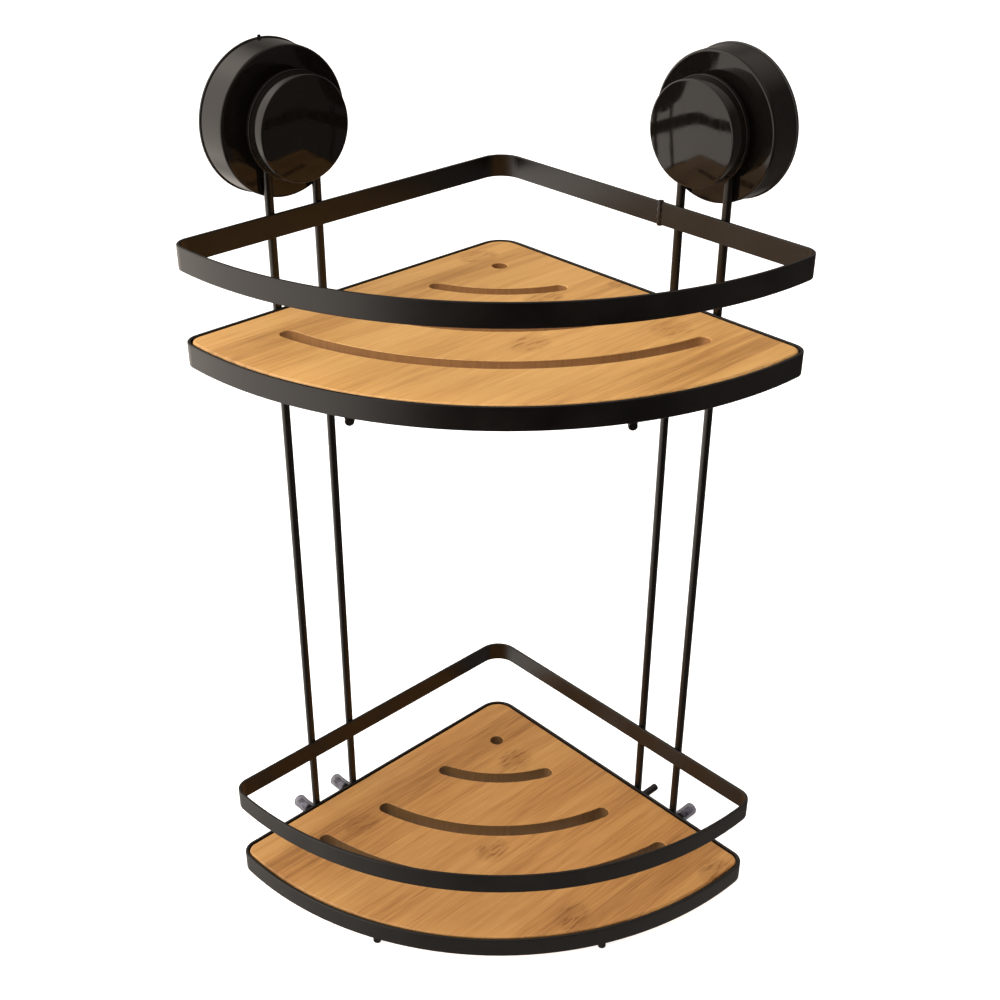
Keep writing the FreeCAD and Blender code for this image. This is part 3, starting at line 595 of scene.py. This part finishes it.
# %% [markdown]
# ## Knob caps
# The cap is what a hand turns: a moulded disc with a face that swells by less than a millimetre,
# so that it mirrors a broad part of the room. A mirror shows every flaw of a mesh, above all in
# the middle, where the triangles of a dome meet. The cap is therefore turned again here, with
# even rings, to the size of the CAD node. Its narrow edge catches a thin line of light.

# %% Knob caps
CAP_WALL = 1.8
CAP_SWELL = 0.8
CAP_BEVEL = 0.7
CAP_RINGS = (24.5, 22.0, 19.0, 16.0, 13.0, 10.0, 7.0, 4.5, 2.5, 1.0)
CAP_STEPS = 128

for side in SIDES.values():
    node = side.hand + "_knob_cap"
    room_face, room_rear = span(node, side.to_wall)
    cap_radius = (span(node, UP)[1] - side.axis_height) / MM
    top = (room_rear - room_face) / MM
    face_edge = top - CAP_SWELL
    floor_height = face_edge - CAP_WALL
    face_radius = cap_radius - CAP_BEVEL
    inside = cap_radius - CAP_WALL
    outline = [
        (2.0, floor_height), (inside - 0.6, floor_height), (inside, floor_height - 0.6),
        (inside, 0.0), (cap_radius - 0.25, 0.0), (cap_radius, 0.25),
        (cap_radius, face_edge - CAP_BEVEL), (cap_radius - 0.06, face_edge - CAP_BEVEL + 0.27),
        (cap_radius - 0.24, face_edge - 0.22), (face_radius, face_edge),
    ]
    for ring in CAP_RINGS:
        outline.append((ring, face_edge + CAP_SWELL * (1 - (ring / face_radius) ** 2)))
    cap = turned(side.hand + "_cap", outline, CAP_STEPS)
    settle(cap, side.seat(side.reach, room_rear, side.axis_height))
    give_finish(cap, "gloss_black_plastic")
    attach(cap, side.hand + "_knob")
    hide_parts(node)
    print(cap.name, round(cap_radius, 2), "mm radius,", round(top, 2), "mm deep")

# %% [markdown]
# ## Rubber feet
# Each foot is a short cap pushed over the bent end of a hanger wire. It touches the wall, so the
# rack can't scratch the tiles. The outline starts at the bottom of the bore, comes out to the
# mouth, turns over its lip and goes along the outside to the dimpled end at the wall. The right
# inner foot has lost its cap, and stays a bare wire end.

# %% Rubber feet
WIRE_RADIUS = (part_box("lower_left_rod")[1].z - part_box("lower_left_rod")[0].z) / 2
FOOT_RADIUS = 4.0
BORE_FLOOR = 2.05
BORE_PLAY = 0.03
FEET = {"left_inner_bumper": "left", "left_outer_bumper": "left", "right_outer_bumper": "right"}

for node, hand in FEET.items():
    side = SIDES[hand]
    mouth, end = (depth / MM for depth in span(node, side.to_wall))
    length = end - mouth
    bore = WIRE_RADIUS / MM + BORE_PLAY
    outline = [
        (bore, BORE_FLOOR), (bore, length - 0.5), (bore + 0.3, length - 0.1),
        (bore + 0.7, length), (FOOT_RADIUS - 0.55, length), (FOOT_RADIUS - 0.15, length - 0.2),
        (FOOT_RADIUS, length - 0.7), (FOOT_RADIUS - 0.12, length * 0.55), (FOOT_RADIUS, 1.5),
        (FOOT_RADIUS - 0.1, 0.8), (FOOT_RADIUS - 0.5, 0.2), (FOOT_RADIUS - 1.0, 0.0),
        (2.3, 0.0), (1.9, 0.12), (1.4, 0.3), (0.7, 0.38),
    ]
    foot = turned(node.replace("bumper", "foot"), outline, 48)
    low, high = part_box(node)
    centre = (low + high) / 2
    settle(foot, side.seat((centre - APEX).dot(side.along), end * MM, centre.z))
    give_finish(foot, "clear_grey_rubber")
    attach(foot, "rack")
    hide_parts(node)
    print(foot.name, round(length, 1), "mm long")

# %% [markdown]
# ## Weld beads
# Wires and bars are joined by short welds, one on each side of a wire, before the coat is
# sprayed. A bead is a row of overlapping ripples, so one ribbed worm is turned and then copied to
# each crossing. Smaller copies lie along the rods under each tray, at both ends. The beads of one
# strip are joined into one piece.

# %% Weld beads
BEAD = [(0.25, -2.9), (0.62, -2.6), (0.78, -2.2), (0.7, -1.9), (0.86, -1.4), (0.74, -1.1),
        (0.9, -0.5), (0.78, -0.2), (0.92, 0.4), (0.78, 0.7), (0.88, 1.3), (0.72, 1.6),
        (0.8, 2.1), (0.6, 2.5), (0.25, 2.8)]
BEAD_DEPTH = 0.45 * MM
ROD_BEAD_SCALE = 0.55
ROD_BEAD_INSET = 1.2 * MM
ROD_BEAD_DROP = 0.2 * MM
FOOT_PAIR = [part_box(node) for node in ("left_inner_bumper", "left_outer_bumper")]
LEG_REACHES = [((low + high) / 2 - APEX).dot(SIDES["left"].along) for low, high in FOOT_PAIR]
LEG_BEAD_OFFSET = WIRE_RADIUS * 0.8
ROD_BEAD_OFFSET = WIRE_RADIUS * 0.75
LIE_DOWN = Matrix.Rotation(math.radians(90), 4, "X") @ Matrix.Scale(ROD_BEAD_SCALE, 4)

bead = turned("bead", BEAD, 12)
for tier in TIERS:
    for strip in ("tray_frame", "gallery_rail"):
        low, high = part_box(tier + "_" + strip)
        middle = (low.z + high.z) / 2
        beads = []
        for side in SIDES.values():
            for leg in LEG_REACHES:
                for way in (-1, 1):
                    new = copied(bead, "bead_copy")
                    settle(new, Matrix.Translation(side.point(
                        leg + way * LEG_BEAD_OFFSET, BEAD_DEPTH, middle)))
                    beads.append(new)
        if strip == "tray_frame":
            for hand in HANDS:
                rod_low, rod_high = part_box(tier + "_" + hand + "_rod")
                rod_x = (rod_low.x + rod_high.x) / 2
                for end_y in (rod_low.y + ROD_BEAD_INSET, rod_high.y - ROD_BEAD_INSET):
                    for way in (-1, 1):
                        new = copied(bead, "bead_copy")
                        settle(new, Matrix.Translation((
                            rod_x + way * ROD_BEAD_OFFSET, end_y, low.z - ROD_BEAD_DROP)) @ LIE_DOWN)
                        beads.append(new)
        welds = joined(beads, tier + "_" + strip + "_welds")
        give_finish(welds, "powder_coat")
        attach(welds, "rack")
        print(welds.name, len(beads), "beads")
deselect()
bead.select_set(True)
bpy.ops.object.delete()

# %% [markdown]
# ## The seam of the upper rail
# A rail is one length of flat bar, bent round and butt-welded. On the upper rail the joint shows
# near the right hanger: a raised bead runs up the bar and stands a little above and below it.

# %% Rail seam
SEAM_REACH = 116.5 * MM
SEAM_SPREAD = 1.35
STRIP_THICK = 1.6 * MM

rail_low, rail_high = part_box("upper_gallery_rail")
half_rail = (rail_high.z - rail_low.z) / 2 / MM
SEAM = [(0.5, -half_rail - 0.7), (1.05, -half_rail - 0.45), (1.3, -half_rail + 0.6),
        (0.95, -half_rail * 0.55), (1.35, -half_rail * 0.3), (0.95, 0.0), (1.4, half_rail * 0.35),
        (0.95, half_rail * 0.6), (1.3, half_rail - 0.7), (1.05, half_rail + 0.45),
        (0.5, half_rail + 0.7)]
seam = turned("upper_rail_seam", SEAM, 20)
right = SIDES["right"]
spread = Matrix.Diagonal((SEAM_SPREAD, SEAM_SPREAD, 1, 1))
settle(seam, Matrix.Translation(right.point(
    SEAM_REACH, -STRIP_THICK / 2, (rail_low.z + rail_high.z) / 2)) @ spread)
give_finish(seam, "powder_coat")
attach(seam, "rack")
print("seam", len(seam.data.polygons), "faces")

# %% [markdown]
# ## Floor
# The floor is white paper that glows a little, so that shadows on it stay faint. Mirrors don't
# show it, so a black gloss that faces down shows the surroundings instead of a white sheet.

# %% Floor
FLOOR_SIZE = 14
FLOOR_DROP = 0.5 * MM

deselect()
bpy.ops.mesh.primitive_plane_add(size=FLOOR_SIZE, location=(0, 0, -FLOOR_DROP))
floor = bpy.context.active_object
floor.name = "floor"
floor.visible_glossy = False
floor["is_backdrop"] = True
paper = Finish("paper", Roughness=0.9, Specular_IOR_Level=0.1, Emission_Strength=0.8)
paper.show("Base Color", (0.86, 0.86, 0.86, 1))
paper.show("Emission Color", (1, 1, 1, 1))
give_finish(floor, "paper")
print("a floor of", FLOOR_SIZE, "m")

# %% [markdown]
# ## Soft boxes
# Three large lamps light the bamboo and the bars: the main one from the left and above, one
# overhead, and a weak one in front that lifts the shadows. Their edges would look hard in the
# gloss, so mirrors don't show them either.


# %% Soft boxes
MIDDLE = Vector((0, 0, 0.25))


def soft_box(name, place, width, height, watts):
    """A rectangular lamp, turned to the caddy, that gives light but isn't seen in gloss."""
    data = bpy.data.lights.new(name, "AREA")
    data.shape = "RECTANGLE"
    data.size = width
    data.size_y = height
    data.energy = watts
    lamp = bpy.data.objects.new(name, data)
    bpy.context.scene.collection.objects.link(lamp)
    lamp.location = place
    lamp.rotation_euler = (MIDDLE - lamp.location).to_track_quat("-Z", "Y").to_euler()
    lamp.visible_glossy = False
    print(name, watts, "W")


soft_box("key_left", (-1.0, -0.6, 1.2), 1.2, 1.2, 17)
soft_box("top", (0.0, -0.35, 1.9), 1.5, 1.3, 9)
soft_box("front_fill", (-0.2, -1.8, 1.2), 1.2, 0.9, 4)

# %% [markdown]
# ## Surroundings
# Black gloss has hardly a colour of its own. It mirrors the caddy and the surroundings, and the
# surroundings draw its shapes. They are a gradient on the sky, warm and soft: one large bright
# wall on the left, a dimmer ceiling, a pale sweep low behind that fades to the right, a faint glow
# from straight below, a trace of light on the right, and darkness in front. The camera itself
# sees plain white.

# %% World
world = bpy.data.worlds.new("studio")
bpy.context.scene.world = world
world.use_nodes = True
room = Wiring(world.node_tree)
direction = room.node("ShaderNodeTexCoord", output="Generated")
x, y, z = room.parts(direction)
lit_wall = room.smooth(x * -1, 0.25, 0.75) * room.smooth(z, -0.75, -0.5)
ceiling = room.smooth(z, 0.45, 0.8)
behind = room.smooth(y, 0.2, 0.8) * room.smooth(z, -0.3, 0.0)
near_ground = room.smooth(z * -1, 0.6, 0.8)
sweep = room.smooth(y, 0.4, 0.8) * room.smooth(z * -1, 0.3, 0.55) * (0.45 - x)
right_wall = room.smooth(x, 0.45, 0.85)
glow = (0.02 + lit_wall * 1.8 + right_wall * 0.09 + ceiling * 0.5 + behind * 0.2
        + near_ground * 0.4 + sweep * 0.9)
seen = room.node("ShaderNodeLightPath", output="Is Camera Ray")
strength = glow * (1 - seen) + seen
background = world.node_tree.nodes["Background"]
room.feed(background.inputs["Strength"], strength)
room.feed(background.inputs["Color"], room.blend(seen, (1, 0.9, 0.81, 1), (1, 1, 1, 1)))
bpy.context.scene.view_settings.view_transform = "Standard"
print("world:", len(world.node_tree.nodes), "shader nodes")

# %% [markdown]
# ## Finish
# The visual size of all that is shown, the floor left out, is printed.

# %% Sizes and finish
low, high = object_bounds()
print("visual size", [round(v, 4) for v in high - low])
